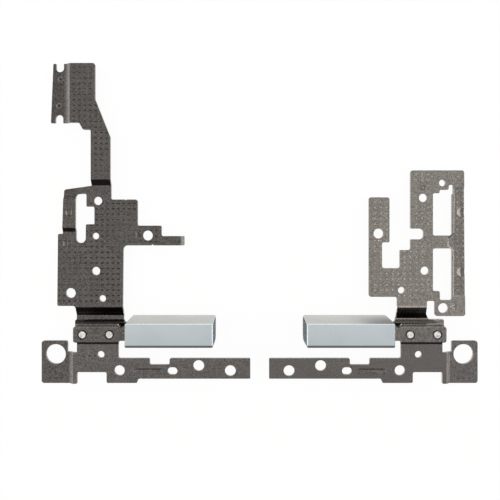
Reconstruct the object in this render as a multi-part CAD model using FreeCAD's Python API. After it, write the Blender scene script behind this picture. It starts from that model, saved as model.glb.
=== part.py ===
import FreeCAD, Part

import math
import os

os.makedirs("parts", exist_ok=True)

V = FreeCAD.Vector

# A pair of laptop hinges that open to a full turn. Each hinge has two parallel shafts in one cap, the system
# shaft below and the display shaft above. Each is modelled with X along its shafts from the mouth of its cap,
# Y away from the display side and Z up from the table, and then set in its place in the pair.

# Shafts and cap
SHAFT_SPACING = 6.7
DISC_RADIUS = 2.45
DISC_TO_CAP = 0.15
CAP_LENGTH = 30.2
CAP_HALF_WIDTH = 4.1
CAP_LOW_HALF_WIDTH = 4.7
CAP_CROWN = 0.3
CAP_WALL = 0.6
CAP_TOP_RADIUS = 0.45
CAP_LOW_RADIUS = 2.6
CAP_INNER_TOP_RADIUS = 0.3
CAP_MOUTH_CHAMFER = 0.3
CAP_HEIGHT = SHAFT_SPACING + 2 * (DISC_RADIUS + DISC_TO_CAP + CAP_WALL)

# Sheet metal
SHEET = 0.8
BEND_RADIUS = 0.5
PRESSED_RUN = 0.2
TIGHT_CORNER = 0.3
CORNER = 0.6
WIDE_CORNER = 0.9

# Tang of each shaft
TANG_LENGTH = 16.0
TANG_Y = (-3.0, 2.6)
TANG_THICKNESS = 1.8
TANG_CORNER = 0.9
TANG_CAP_CORNER = 0.4
TANG_CHAMFER_RUN = 0.3
TANG_CHAMFER_DROP = 0.2
TANG_TO_CAP = 2.6
NECK_HALF_WIDTH = 2.3

# Rivets
RIVET_FROM_TANG_END = 3.3
RIVET_Y = sum(TANG_Y) / 2
RIVET_SHANK_RADIUS = 0.8
RIVET_HEAD_RADIUS = 1.28
RIVET_HEAD_STANDS = 0.12
RIVET_SEAT_RADIUS = 1.66
RIVET_SEAT_DEPTH = 0.9
RIVET_TAIL_HEIGHT = 0.4

# Torque unit, in the order in which it is stacked
RUNNING_GAP = 0.05
COLLAR_START = 0.3
COLLAR_LENGTH = 1.0
JOURNAL_RADIUS = 1.5
KEY_HALF_HEIGHT = 1.15
END_PLATE_LENGTH = 1.2
CAM_LENGTH = 1.5
CAM_NOTCH_HALF_WIDTH = 0.8
CAM_NOTCH_DEPTH = 0.6
SLIDER_TO_CAP = 0.3
SLIDER_HALF_HEIGHT = 1.7
SLIDER_CLEARANCE = 0.1
FRICTION_PLATES = 4
FRICTION_PLATE_LENGTH = 0.8
FRICTION_WASHER_LENGTH = 0.5
SPRING_WASHERS = 3
SPRING_THICKNESS = 0.3
SPRING_CONE_HEIGHT = 0.25
SPRING_INSET = 0.05
THREAD_RADIUS = 1.0
NUT_INSET = 0.14
NUT_LENGTH = 1.6
NUT_CHAMFER = 0.15
THREAD_PAST_NUT = 0.6
THREAD_CHAMFER = 0.2

# Levels of the sheets
FOOT_TO_PLATE_RISE = 1.2
PLATE_TO_ARM_RISE = 1.0
ARM_TO_FLANGE_DROP = 1.0
STRIP_RISE = 0.6
PAD_DROP = 0.8
BEAD_HEIGHT = 0.45

# Holes in the brackets
SCREW_HOLE_RADIUS = 1.5
WIDE_HOLE_RADIUS = 1.8
LOCATING_HOLE_RADIUS = 1.2
ARM_HOLE_RADIUS = 1.9
PAD_HOLE_RADIUS = 3.5
MARK_DEPTH = 0.15
MARK_LINE = 0.5
NICK_RADIUS = 0.35

# Heights that follow from the sizes above
CAP_MIDDLE_Z = CAP_HEIGHT / 2
SYSTEM_AXIS_Z = CAP_MIDDLE_Z - SHAFT_SPACING / 2
DISPLAY_AXIS_Z = CAP_MIDDLE_Z + SHAFT_SPACING / 2
FOOT_Z = SYSTEM_AXIS_Z - TANG_THICKNESS / 2 - SHEET
PLATE_Z = FOOT_Z + FOOT_TO_PLATE_RISE
ARM_Z = PLATE_Z + PLATE_TO_ARM_RISE
DISPLAY_SHEET_Z = DISPLAY_AXIS_Z - TANG_THICKNESS / 2 - SHEET
THROUGH = 40.0
MARGIN = 5.0

# Stations along the torque unit
COLLAR_END = COLLAR_START + COLLAR_LENGTH
END_PLATE_X = COLLAR_END + RUNNING_GAP
CAM_X = END_PLATE_X + END_PLATE_LENGTH + RUNNING_GAP
STACK_X = CAM_X + CAM_LENGTH + RUNNING_GAP
STACK_PITCH = FRICTION_PLATE_LENGTH + FRICTION_WASHER_LENGTH + 2 * RUNNING_GAP
SPRING_X = STACK_X + FRICTION_PLATES * STACK_PITCH
SPRING_PITCH = SPRING_THICKNESS + SPRING_CONE_HEIGHT
NUT_X = SPRING_X + SPRING_WASHERS * SPRING_PITCH
SHAFT_END_X = NUT_X + NUT_LENGTH + THREAD_PAST_NUT
RIVET_STATIONS = [TANG_TO_CAP + TANG_LENGTH - RIVET_FROM_TANG_END, TANG_TO_CAP + RIVET_FROM_TANG_END]


def rounded_wire(corners):
    """Closed wire through (x, y, radius) corners, each radius limited by the sides that meet there."""
    count = len(corners)
    stops = []
    for i in range(count):
        here = V(corners[i][0], corners[i][1], 0)
        back = V(corners[i - 1][0], corners[i - 1][1], 0) - here
        ahead = V(corners[(i + 1) % count][0], corners[(i + 1) % count][1], 0) - here
        half_angle = back.getAngle(ahead) / 2
        reach = min(corners[i][2] / math.tan(half_angle), 0.48 * min(back.Length, ahead.Length))
        if reach < 0.01:
            stops.append((here, None, here))
            continue
        back.normalize()
        ahead.normalize()
        radius = reach * math.tan(half_angle)
        inward = (back + ahead).normalize()
        middle = here + inward * (radius / math.sin(half_angle) - radius)
        stops.append((here + back * reach, middle, here + ahead * reach))
    edges = []
    for i in range(count):
        start, middle, end = stops[i]
        following = stops[(i + 1) % count][0]
        if middle is not None:
            edges.append(Part.Arc(start, middle, end).toShape())
        if (following - end).Length > 0.001:
            edges.append(Part.LineSegment(end, following).toShape())
    return Part.Wire(edges)


def prism(corners, low, high):
    face = Part.Face(rounded_wire(corners))
    face.translate(V(0, 0, low))
    return face.extrude(V(0, 0, high - low))


def block(x0, x1, y0, y1, z0, z1):
    return Part.makeBox(x1 - x0, y1 - y0, z1 - z0, V(x0, y0, z0))


def rod(x0, x1, radius, z):
    return Part.makeCylinder(radius, x1 - x0, V(x0, 0, z), V(1, 0, 0))


def through_hole(x, y, radius):
    return Part.makeCylinder(radius, THROUGH, V(x, y, -THROUGH / 2))


def rectangle(x, y, length, width, radius):
    x0, x1 = x - length / 2, x + length / 2
    y0, y1 = y - width / 2, y + width / 2
    return [(x0, y0, radius), (x1, y0, radius), (x1, y1, radius), (x0, y1, radius)]


def folded_profile(path):
    """Section of a bent sheet. The path is its underside, as (run, height) or (run, height, radius)."""
    normals = []
    for (u0, z0, *_), (u1, z1, *_) in zip(path, path[1:]):
        length = math.hypot(u1 - u0, z1 - z0)
        normals.append((-(z1 - z0) / length, (u1 - u0) / length))
    lower = []
    upper = []
    for i, (u, z, *bend) in enumerate(path):
        before = normals[max(i - 1, 0)]
        after = normals[min(i, len(normals) - 1)]
        share = SHEET / (1 + before[0] * after[0] + before[1] * after[1])
        turn = before[0] * after[1] - before[1] * after[0]
        inner = bend[0] if bend else BEND_RADIUS
        outer = inner + SHEET
        if i in (0, len(path) - 1):
            inner, outer = 0, 0
        lower.append((u, z, outer if turn > 0 else inner))
        upper.append((u + share * (before[0] + after[0]), z + share * (before[1] + after[1]),
                      inner if turn > 0 else outer))
    return Part.Face(rounded_wire(lower + upper[::-1]))


def folded_along_y(path, x0, x1):
    """Bent sheet whose bend lines run along X."""
    section = folded_profile(path)
    section.rotate(V(0, 0, 0), V(1, 0, 0), 90)
    section.rotate(V(0, 0, 0), V(0, 0, 1), 90)
    section.translate(V(x0, 0, 0))
    return section.extrude(V(x1 - x0, 0, 0))


def folded_along_x(path, y0, y1):
    """Bent sheet whose bend lines run along Y."""
    section = folded_profile(path)
    section.rotate(V(0, 0, 0), V(1, 0, 0), 90)
    section.translate(V(0, y0, 0))
    return section.extrude(V(0, y1 - y0, 0))


def inset(corners, distance):
    """Corners of the outline moved inward, for an outline that runs anticlockwise."""
    moved = []
    count = len(corners)
    for i in range(count):
        x, y, radius = corners[i]
        before = V(x - corners[i - 1][0], y - corners[i - 1][1], 0).normalize()
        after = V(corners[(i + 1) % count][0] - x, corners[(i + 1) % count][1] - y, 0).normalize()
        left_before = V(-before.y, before.x, 0)
        left_after = V(-after.y, after.x, 0)
        shift = (left_before + left_after) * (distance / (1 + left_before.dot(left_after)))
        new_radius = radius + distance
        if radius == 0:
            new_radius = 0
        elif before.cross(after).z > 0:
            new_radius = max(radius - distance, distance / 4)
        moved.append((x + shift.x, y + shift.y, new_radius))
    return moved


def sloping_prism(wide, narrow, low, high):
    """Solid from the wide outline at one height to the narrow one at the other."""
    wires = [rounded_wire(wide), rounded_wire(narrow)]
    wires[0].translate(V(0, 0, low))
    wires[1].translate(V(0, 0, high))
    return Part.makeLoft(wires, True)


def pressed(sheet, wide, narrow, low, rise):
    """Presses a form with sloping sides out of a flat sheet, up, or down where rise is negative."""
    near, far = (low + SHEET, low) if rise > 0 else (low, low + SHEET)
    bump = sloping_prism(wide, narrow, near, near + rise)
    dent = sloping_prism(wide, narrow, far, far + rise)
    return sheet.fuse(bump).cut(dent)


def pressed_rectangle(sheet, place, size, end_run, low, rise):
    """Presses a rectangle out of a flat sheet, with steep sides and ends that slope over the run."""
    length, width = size
    wide = rectangle(*place, length, width, CORNER)
    narrow = rectangle(*place, length - 2 * end_run, width - 2 * PRESSED_RUN, TIGHT_CORNER)
    return pressed(sheet, wide, narrow, low, rise)


def stamped_outline(corners, top):
    """Cutter for a mark whose outline is stamped into the sheet as a narrow groove."""
    bottom_line = inset(corners, MARK_LINE / 2)
    groove = sloping_prism(corners, bottom_line, top, top - MARK_DEPTH)
    return groove.cut(sloping_prism(inset(corners, MARK_LINE), bottom_line, top, top - MARK_DEPTH))


def chamfered_prism(corners, low, high, run, drop):
    """Prism whose upper edge is bevelled over a run and a drop."""
    bevel = sloping_prism(corners, inset(corners, run), high - drop, high)
    return prism(corners, low, high - drop).fuse(bevel).removeSplitter()


# Left system bracket, measured from the mouth of the left cap and the axis
LEFT_NECK_X = (-20.65, -3.4)
LEFT_FOOT_X = (-21.2, -3.1)
FOOT_FAR_Y = -2.6
FOOT_FLARE_Y = 2.7
FLARE_RUN = 0.4
NECK_TOP_Y = 8.0
LEFT_NECK_LOW_Y = 4.8
LEFT_NECK_DIP = 0.3
PLATE_START_Y = 8.3
LEFT_BLOCK_X = (-27.2, -3.2)
LEFT_BLOCK_TOP_Y = 34.5
LEFT_HOOK_X = (-25.2, -20.4)
LEFT_HOOK_TOP_Y = 51.5
LEFT_HOOK_SLANT = 0.9
LEFT_STRIP_Y = (35.3, 48.4)
LEFT_STRIP_RAMP = 1.6
LEFT_ARM_X = (-14.7, -7.65)
LEFT_ARM_STEP_Y = (52.3, 54.4)
LEFT_ARM_CORNER_Y = 69.5
LEFT_HEAD_Y = (74.75, 96.3)
LEFT_HEAD_RIGHT_X = -13.15
LEFT_HEAD_CORNER_Y = 83.3
LEFT_FLANGE_X = (-29.5, -22.0)
LEFT_FLANGE_LEAN = 0.9
LEFT_FLANGE_RAMP = (2.5, 1.25)
FLANGE_RAMP_REST = 0.75
LEFT_SHOULDER_Y = 72.2
LEFT_SHOULDER_X = (-18.9, -17.5)
LEFT_WING_X = (2.0, 10.7)
LEFT_WING_Y = (37.5, 47.0)
LEFT_FINGER_X = 18.9
LEFT_FINGER_Y = (30.3, 33.7)
LEFT_FINGER_BEND_X = 17.4
LEFT_FINGER_FILLET = 1.6
FINGER_TIP_DROP = 1.2
LEAN = 0.5
LEFT_WINDOW = [
    (-20.4, 31.2, 1.9),
    (-16.9, 31.2, 1.8),
    (-16.8, 38.0, 0.5),
    (-13.7, 38.0, 0.4),
    (-13.7, 44.4, 0.6),
    (-16.6, 44.4, 0.4),
    (-16.6, 49.1, 0.6),
    (-20.4, 48.9, 1.2),
]
LEFT_SCREW_HOLES = [(-12.4, 46.5), (-13.1, 21.0)]
LEFT_WIDE_HOLES = [(5.7, 33.9), (-22.3, 13.0)]
LEFT_LOCATING_HOLES = [(-13.2, 33.7), (-10.7, 11.0)]
LEFT_FLANGE_BOSSES = [(-25.9, 90.7), (-26.5, 81.0)]
LEFT_NICKS = [(7.4, 30.3), (-2.3, 47.1)]
LEFT_TRIANGLE = [(1.3, 33.1, 0), (3.8, 34.3, 0), (1.3, 35.5, 0)]
STRIP_DENT = (-22.8, 42.2)
STRIP_DENT_SIZE = (2.3, 2.0)
BLOCK_DENT = (-24.2, 31.1)
BLOCK_DENT_SIZE = (1.9, 2.2)
DENT_DEPTH = 0.35
DENT_END_RUN = 0.45
LOW_NOTCH_X = -26.45
HIGH_NOTCH_X = -26.2
FLANGE_NOTCH_RADIUS = 1.45
FLANGE_NOTCH_DEPTH = 3.0
FLANGE_BOSS_RADIUS = 1.1
FLANGE_BOSS_CROWN_RADIUS = 0.65
FLANGE_BOSS_HEIGHT = 0.28
FLANGE_BOSS_PIT_RADIUS = 0.4
FLANGE_BOSS_PIT_FLOOR = 0.3
FLAT_RUN = 0.1


def left_system_outline():
    """Anticlockwise from the near corner of the foot."""
    foot_left, foot_right = LEFT_FOOT_X
    neck_left, neck_right = LEFT_NECK_X
    block_left, block_right = LEFT_BLOCK_X
    hook_left = LEFT_HOOK_X[0]
    arm_left, arm_right = LEFT_ARM_X
    head_low, head_high = LEFT_HEAD_Y
    flange_left = LEFT_FLANGE_X[0]
    shoulder_left, shoulder_right = LEFT_SHOULDER_X
    wing_right, ear_right = LEFT_WING_X
    ear_top, wing_top = LEFT_WING_Y
    finger_low, finger_high = LEFT_FINGER_Y
    return [
        (foot_left, FOOT_FAR_Y, WIDE_CORNER),
        (foot_right, FOOT_FAR_Y, WIDE_CORNER),
        (foot_right, FOOT_FLARE_Y, TIGHT_CORNER),
        (neck_right, FOOT_FLARE_Y + FLARE_RUN, TIGHT_CORNER),
        (neck_right, PLATE_START_Y, CORNER),
        (block_right, finger_low, LEFT_FINGER_FILLET),
        (LEFT_FINGER_X, finger_low, TIGHT_CORNER),
        (LEFT_FINGER_X, finger_high, TIGHT_CORNER),
        (ear_right, finger_high, CORNER),
        (ear_right, ear_top, CORNER),
        (wing_right, ear_top, CORNER),
        (wing_right, wing_top, WIDE_CORNER),
        (arm_right, wing_top, CORNER),
        (arm_right, LEFT_ARM_CORNER_Y, WIDE_CORNER),
        (LEFT_HEAD_RIGHT_X, LEFT_HEAD_CORNER_Y, WIDE_CORNER),
        (LEFT_HEAD_RIGHT_X, head_high, WIDE_CORNER),
        (flange_left + LEFT_FLANGE_LEAN, head_high, TIGHT_CORNER),
        (flange_left, head_low, TIGHT_CORNER),
        (shoulder_left, head_low, WIDE_CORNER),
        (shoulder_right, LEFT_SHOULDER_Y, WIDE_CORNER),
        (arm_left, LEFT_SHOULDER_Y, CORNER),
        (arm_left, LEFT_HOOK_TOP_Y + LEAN, TIGHT_CORNER),
        (hook_left + LEAN, LEFT_HOOK_TOP_Y - LEFT_HOOK_SLANT, WIDE_CORNER),
        (hook_left, LEFT_BLOCK_TOP_Y, TIGHT_CORNER),
        (block_left + LEAN / 2, LEFT_BLOCK_TOP_Y, CORNER),
        (block_left, PLATE_START_Y, CORNER),
        (neck_left, PLATE_START_Y, WIDE_CORNER),
        (neck_left, FOOT_FLARE_Y + FLARE_RUN, TIGHT_CORNER),
        (foot_left, FOOT_FLARE_Y, TIGHT_CORNER),
    ]


def foot_path(neck_low_y, dip, plate_end):
    """Underside of the sheet from the foot under the tang, with a slight dip, up the neck to the plate."""
    return [
        (FOOT_FAR_Y - MARGIN, FOOT_Z),
        (FOOT_FLARE_Y + FLARE_RUN, FOOT_Z),
        (neck_low_y, FOOT_Z - dip),
        (NECK_TOP_Y, PLATE_Z),
        (plate_end, PLATE_Z),
    ]


def round_cutters(groups):
    """Cutters for groups of like holes, each group a radius and its places."""
    return [through_hole(x, y, radius) for radius, places in groups for x, y in places]


def rivet_cutters(side):
    return [through_hole(side * x, RIVET_Y, RIVET_SHANK_RADIUS) for x in RIVET_STATIONS]


def raised_strip():
    """The hook's strip, which stands above the plate between two ramps."""
    low, high = LEFT_STRIP_Y
    path = [
        (low, PLATE_Z),
        (low + FLAT_RUN, PLATE_Z),
        (low + LEFT_STRIP_RAMP, PLATE_Z + STRIP_RISE),
        (high - LEFT_STRIP_RAMP, PLATE_Z + STRIP_RISE),
        (high - FLAT_RUN, PLATE_Z),
        (high, PLATE_Z),
    ]
    return folded_along_y(path, LEFT_FLANGE_X[0] - MARGIN, LEFT_HOOK_X[1] + FLAT_RUN)


def dropped_flange(flange_z):
    """The flange left of the head, below it behind a ramp that gets steeper."""
    left, right = LEFT_FLANGE_X
    path = [
        (left - MARGIN, flange_z),
        (right - LEFT_FLANGE_RAMP[0], flange_z),
        (right - LEFT_FLANGE_RAMP[1], ARM_Z - FLANGE_RAMP_REST),
        (right - FLAT_RUN, ARM_Z),
        (right, ARM_Z),
    ]
    return folded_along_x(path, LEFT_HEAD_Y[0] - MARGIN, LEFT_HEAD_Y[1] + MARGIN)


def bent_tip():
    """The end of the finger, bent down."""
    path = [
        (LEFT_FINGER_BEND_X, PLATE_Z),
        (LEFT_FINGER_BEND_X + FLAT_RUN, PLATE_Z),
        (LEFT_FINGER_X + FLAT_RUN, PLATE_Z - FINGER_TIP_DROP),
    ]
    return folded_along_x(path, LEFT_FINGER_Y[0] - MARGIN, LEFT_FINGER_Y[1] + MARGIN)


def flange_notches():
    """U notches that open at both ends of the flange."""
    cutters = []
    for x, edge, inward in ((LOW_NOTCH_X, LEFT_HEAD_Y[0], 1), (HIGH_NOTCH_X, LEFT_HEAD_Y[1], -1)):
        centre = edge + inward * (FLANGE_NOTCH_DEPTH - FLANGE_NOTCH_RADIUS)
        low, high = sorted((centre, edge - inward * MARGIN))
        cutters.append(through_hole(x, centre, FLANGE_NOTCH_RADIUS))
        cutters.append(block(x - FLANGE_NOTCH_RADIUS, x + FLANGE_NOTCH_RADIUS, low, high, -THROUGH, THROUGH))
    return cutters


def left_system_bracket():
    plan = prism(left_system_outline(), -THROUGH, THROUGH).cut(prism(LEFT_WINDOW, -THROUGH, THROUGH))
    flange_left, flange_right = LEFT_FLANGE_X
    head_low, head_high = LEFT_HEAD_Y
    step_low, step_high = LEFT_ARM_STEP_Y
    left = flange_left - MARGIN
    right = LEFT_FINGER_X + MARGIN
    flange_zone = block(left, flange_right, head_low - MARGIN, head_high + MARGIN, -THROUGH, THROUGH)
    strip_zone = block(left, LEFT_HOOK_X[1] + FLAT_RUN, *LEFT_STRIP_Y, -THROUGH, THROUGH)
    tip_zone = block(LEFT_FINGER_BEND_X, right, FOOT_FAR_Y, head_low, -THROUGH, THROUGH)
    path = foot_path(LEFT_NECK_LOW_Y, LEFT_NECK_DIP, step_low)
    path += [(step_high, ARM_Z), (head_high + MARGIN, ARM_Z)]
    main = folded_along_y(path, left, right).common(plan.cut([flange_zone, strip_zone, tip_zone]))
    flange_z = ARM_Z - ARM_TO_FLANGE_DROP
    flange = dropped_flange(flange_z).common(plan).common(flange_zone)
    strip = raised_strip().common(plan).common(strip_zone)
    tip = bent_tip().common(plan).common(tip_zone)
    bracket = main.fuse([flange, strip, tip])
    cutters = flange_notches() + rivet_cutters(-1)
    cutters += round_cutters([
        (SCREW_HOLE_RADIUS, LEFT_SCREW_HOLES),
        (WIDE_HOLE_RADIUS, LEFT_WIDE_HOLES),
        (LOCATING_HOLE_RADIUS, LEFT_LOCATING_HOLES),
        (NICK_RADIUS, LEFT_NICKS),
    ])
    cutters.append(stamped_outline(LEFT_TRIANGLE, PLATE_Z + SHEET))
    bracket = bracket.cut(cutters)
    bracket = pressed_rectangle(bracket, STRIP_DENT, STRIP_DENT_SIZE, DENT_END_RUN,
                                PLATE_Z + STRIP_RISE, -DENT_DEPTH)
    bracket = pressed_rectangle(bracket, BLOCK_DENT, BLOCK_DENT_SIZE, DENT_END_RUN, PLATE_Z, -DENT_DEPTH)
    for x, y in LEFT_FLANGE_BOSSES:
        top = flange_z + SHEET
        boss = Part.makeCone(FLANGE_BOSS_RADIUS, FLANGE_BOSS_CROWN_RADIUS, FLANGE_BOSS_HEIGHT, V(x, y, top))
        pit_floor = V(x, y, flange_z + FLANGE_BOSS_PIT_FLOOR)
        pit = Part.makeCylinder(FLANGE_BOSS_PIT_RADIUS, MARGIN, pit_floor)
        bracket = bracket.fuse(boss).cut(pit)
    return bracket


# Right system bracket, measured from the mouth of the right cap and the axis
RIGHT_NECK_X = (3.8, 14.6)
RIGHT_FOOT_X = (3.4, 21.3)
RIGHT_FOOT_STEP = (1.0, 0.5)
RIGHT_NECK_LOW_Y = 3.7
RIGHT_NECK_DIP = 0.1
RIGHT_NECK_FLARE_Y = 4.0
RIGHT_NECK_CORNER_Y = 5.3
RIGHT_STRIP_X = (-6.5, 1.0)
RIGHT_STRIP_TOP_Y = 47.8
RIGHT_STEP_X = -1.7
RIGHT_BAY_Y = (22.0, 31.4)
RIGHT_BAY_X = 4.8
RIGHT_BAY_TOP_Y = 28.6
RIGHT_LOW_LEFT_Y = 11.6
RIGHT_SLOT_X = (8.65, 13.4)
RIGHT_SLOT_Y = (32.5, 36.4)
RIGHT_SLOT_CORNER = 1.5
RIGHT_PANEL_X = 28.55
RIGHT_PANEL_LEAN = 0.4
RIGHT_PANEL_TOP_Y = 57.6
RIGHT_TAB_X = 17.5
RIGHT_TAB_LOW_Y = 4.6
RIGHT_GAP_TOP_Y = 10.1
RIGHT_UPPER_WINDOW = [
    (16.8, 33.9, 0.7),
    (23.7, 33.9, 0.7),
    (23.7, 48.9, 0.3),
    (24.2, 49.0, 0.3),
    (24.2, 52.3, 0.3),
    (22.7, 52.3, 0.3),
    (22.4, 50.5, 0.6),
    (19.2, 50.5, 0.5),
    (19.2, 49.3, 0.4),
    (16.8, 49.3, 0.6),
]
RIGHT_LOWER_WINDOW = [
    (16.8, 13.7, 0.7),
    (19.3, 13.7, 0.6),
    (19.3, 10.4, 0.7),
    (23.7, 10.4, 0.7),
    (23.7, 29.2, 0.7),
    (16.8, 29.2, 0.7),
]
RIGHT_RAIL = [
    (24.05, 11.7, 0.6),
    (RIGHT_PANEL_X + MARGIN, 11.7, 0),
    (RIGHT_PANEL_X + MARGIN, 51.6, 0),
    (24.4, 51.6, 0.6),
    (24.2, 34.9, 1.2),
    (22.1, 33.0, 1.0),
    (22.1, 30.2, 1.0),
    (24.05, 28.4, 1.2),
]
RIGHT_RAIL_DROP = 0.3
RIGHT_RAIL_RUN = 0.5
RIGHT_SCREW_HOLES = [(13.8, 21.1), (13.2, 47.6)]
RIGHT_WIDE_HOLES = [(-3.0, 34.6), (20.5, 7.5)]
RIGHT_LOCATING_HOLES = [(5.3, 14.0), (20.2, 53.0)]
RIGHT_EDGE_DIMPLES = [(27.3, 42.4), (27.3, 20.7)]
RIGHT_PINHOLES = [(16.5, 55.3), (-2.9, 32.0)]
RIGHT_TRIANGLE = [(25.3, 6.9, 0), (25.3, 9.3, 0), (22.8, 8.1, 0)]
RIGHT_SQUARE = (13.1, 51.2)
SQUARE_SIZE = 1.9
PINHOLE_RADIUS = 0.25
EDGE_DIMPLE_RADIUS = 1.7
EDGE_DIMPLE_FLOOR_RADIUS = 0.35
EDGE_DIMPLE_DEPTH = 0.5


def right_system_outline():
    """Anticlockwise from the near corner of the foot."""
    foot_left, foot_right = RIGHT_FOOT_X
    neck_left, neck_right = RIGHT_NECK_X
    step_x, step_y = RIGHT_FOOT_STEP
    strip_left, strip_right = RIGHT_STRIP_X
    bay_low, bay_high = RIGHT_BAY_Y
    slot_left, slot_right = RIGHT_SLOT_X
    slot_low, slot_high = RIGHT_SLOT_Y
    return [
        (foot_left, FOOT_FAR_Y, WIDE_CORNER),
        (foot_right, FOOT_FAR_Y, WIDE_CORNER),
        (foot_right, FOOT_FLARE_Y + step_y, CORNER),
        (neck_right + step_x, FOOT_FLARE_Y + step_y, WIDE_CORNER),
        (neck_right, RIGHT_NECK_CORNER_Y, WIDE_CORNER),
        (neck_right, RIGHT_GAP_TOP_Y, CORNER),
        (RIGHT_TAB_X, RIGHT_GAP_TOP_Y, CORNER),
        (RIGHT_TAB_X, RIGHT_TAB_LOW_Y, WIDE_CORNER),
        (RIGHT_PANEL_X, RIGHT_TAB_LOW_Y, WIDE_CORNER),
        (RIGHT_PANEL_X - RIGHT_PANEL_LEAN, RIGHT_PANEL_TOP_Y, WIDE_CORNER),
        (slot_left, RIGHT_PANEL_TOP_Y, WIDE_CORNER),
        (slot_left, slot_high, TIGHT_CORNER),
        (slot_right, slot_high, RIGHT_SLOT_CORNER),
        (slot_right, slot_low, RIGHT_SLOT_CORNER),
        (slot_left, slot_low, TIGHT_CORNER),
        (slot_left, RIGHT_BAY_TOP_Y, WIDE_CORNER),
        (RIGHT_BAY_X, RIGHT_BAY_TOP_Y, TIGHT_CORNER),
        (RIGHT_BAY_X, bay_low, WIDE_CORNER),
        (RIGHT_STEP_X, bay_low, WIDE_CORNER),
        (RIGHT_STEP_X, bay_high, CORNER),
        (strip_right, bay_high, CORNER),
        (strip_right, RIGHT_STRIP_TOP_Y, WIDE_CORNER),
        (strip_left, RIGHT_STRIP_TOP_Y, WIDE_CORNER),
        (strip_left, RIGHT_LOW_LEFT_Y, WIDE_CORNER),
        (neck_left, RIGHT_LOW_LEFT_Y, WIDE_CORNER),
        (neck_left, RIGHT_NECK_FLARE_Y, TIGHT_CORNER),
        (foot_left, FOOT_FLARE_Y + FLARE_RUN, TIGHT_CORNER),
    ]


def right_system_bracket():
    plan = prism(right_system_outline(), -THROUGH, THROUGH)
    for window in (RIGHT_UPPER_WINDOW, RIGHT_LOWER_WINDOW):
        plan = plan.cut(prism(window, -THROUGH, THROUGH))
    far = RIGHT_PANEL_X + 2 * MARGIN
    tab_zone = block((RIGHT_NECK_X[1] + RIGHT_TAB_X) / 2, far,
                     (FOOT_FLARE_Y + RIGHT_FOOT_STEP[1] + RIGHT_TAB_LOW_Y) / 2, RIGHT_GAP_TOP_Y,
                     -THROUGH, THROUGH)
    path = foot_path(RIGHT_NECK_LOW_Y, RIGHT_NECK_DIP, RIGHT_PANEL_TOP_Y + MARGIN)
    main = folded_along_y(path, RIGHT_STRIP_X[0] - MARGIN, far)
    tab = block(0, far, 0, RIGHT_GAP_TOP_Y, PLATE_Z, PLATE_Z + SHEET).common(tab_zone)
    flat = main.cut(tab_zone).fuse(tab)
    rail_floor = inset(RIGHT_RAIL, RIGHT_RAIL_RUN)
    bracket = pressed(flat, RIGHT_RAIL, rail_floor, PLATE_Z, -RIGHT_RAIL_DROP).common(plan)
    top = PLATE_Z + SHEET
    cutters = rivet_cutters(1)
    cutters += round_cutters([
        (SCREW_HOLE_RADIUS, RIGHT_SCREW_HOLES),
        (WIDE_HOLE_RADIUS, RIGHT_WIDE_HOLES),
        (LOCATING_HOLE_RADIUS, RIGHT_LOCATING_HOLES),
        (PINHOLE_RADIUS, RIGHT_PINHOLES),
    ])
    rail_top = top - RIGHT_RAIL_DROP
    for x, y in RIGHT_EDGE_DIMPLES:
        cutters.append(Part.makeCone(EDGE_DIMPLE_FLOOR_RADIUS, EDGE_DIMPLE_RADIUS, EDGE_DIMPLE_DEPTH,
                                     V(x, y, rail_top - EDGE_DIMPLE_DEPTH)))
    cutters.append(stamped_outline(RIGHT_TRIANGLE, top))
    cutters.append(stamped_outline(rectangle(*RIGHT_SQUARE, SQUARE_SIZE, SQUARE_SIZE, 0), top))
    return bracket.cut(cutters).removeSplitter()


# Display brackets, measured from the mouth of the cap and the axis
DISPLAY_FOOT_X = (-18.5, -3.3)
DISPLAY_FOOT_LEDGE = 0.4
DISPLAY_FOOT_TOP_Y = TANG_Y[1] + DISPLAY_FOOT_LEDGE
LUG_TOP_Y = -2.4
ARM_TOP_Y = -8.95
ARM_LOW_Y = -16.1
ARM_END_X = 43.0
ARM_ENDS_APART = 6.6
ARM_NOTCH_X = (7.7, 14.65)
ARM_NOTCH_Y = -11.2
DISPLAY_BLOCK_LOW_Y = -17.6
DISPLAY_BLOCK_END_X = 3.2
BLOCK_CUT_X = (-17.85, -7.45)
BLOCK_CUT_Y = -13.8
PAD_X = (-30.6, -21.5)
PAD_TOP_Y = -3.0
PAD_LOW_Y = -17.9
PAD_GAP_LOW_Y = -6.9
PAD_RAMP_X = (-20.4, -19.2)
PAD_HOLES = [(-25.6, -7.7)]
SMALL_HOLES = [(-9.4, -7.6)]
WIDE_HOLES = [(-2.9, -13.2)]
ARM_HOLES = [(24.9, -11.5), (36.0, -13.3)]
SLOT = (15.7, -13.4)
SLOT_SIZE = (3.4, 2.6)
BEAD = (6.95, -13.5)
BEAD_SIZE = (10.1, 1.9)
BEAD_END_RUN = 0.6
DISPLAY_NICKS = [(-0.7, -8.6), (4.8, -16.4)]


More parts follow.
